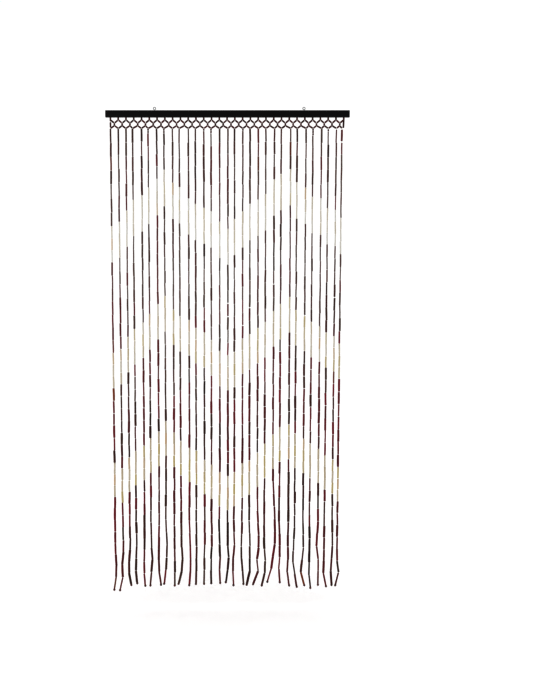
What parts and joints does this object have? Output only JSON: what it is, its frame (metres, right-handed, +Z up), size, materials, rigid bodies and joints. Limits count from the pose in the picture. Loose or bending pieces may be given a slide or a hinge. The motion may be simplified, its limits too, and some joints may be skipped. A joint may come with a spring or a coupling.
{
  "type": "bamboo bead door curtain on a wooden header rail",
  "caption": "Open door curtain of thin bamboo tube strands with zigzag bands, hung by diamond bead netting from a black wooden rail with two screw eyes.",
  "frame": {"origin": "midway between the two screw eyes, at the inside top of their loops, where the wall hooks bear", "axes": "+Z up; +X along the rail, to the right as seen from the front; +Y towards the back, so the front faces -Y"},
  "size_m": [0.9, 0.015, 1.8421],
  "materials": {
    "lacquered_wood": "black satin lacquer",
    "eye_steel": "bright zinc-plated wire",
    "dark_bamboo": "dark burgundy-brown stain, satin",
    "natural_bamboo": "natural pale bamboo, satin",
    "end_bead_wood": "red-brown stained wood, satin",
    "threading_cord": "pale twisted cord"
  },
  "bodies": {
    "root": {"rail": "lacquered_wood", "screw_eye_left": "eye_steel", "screw_eye_right": "eye_steel", "bead_strands": "dark_bamboo"}
  },
  "joints": []
}
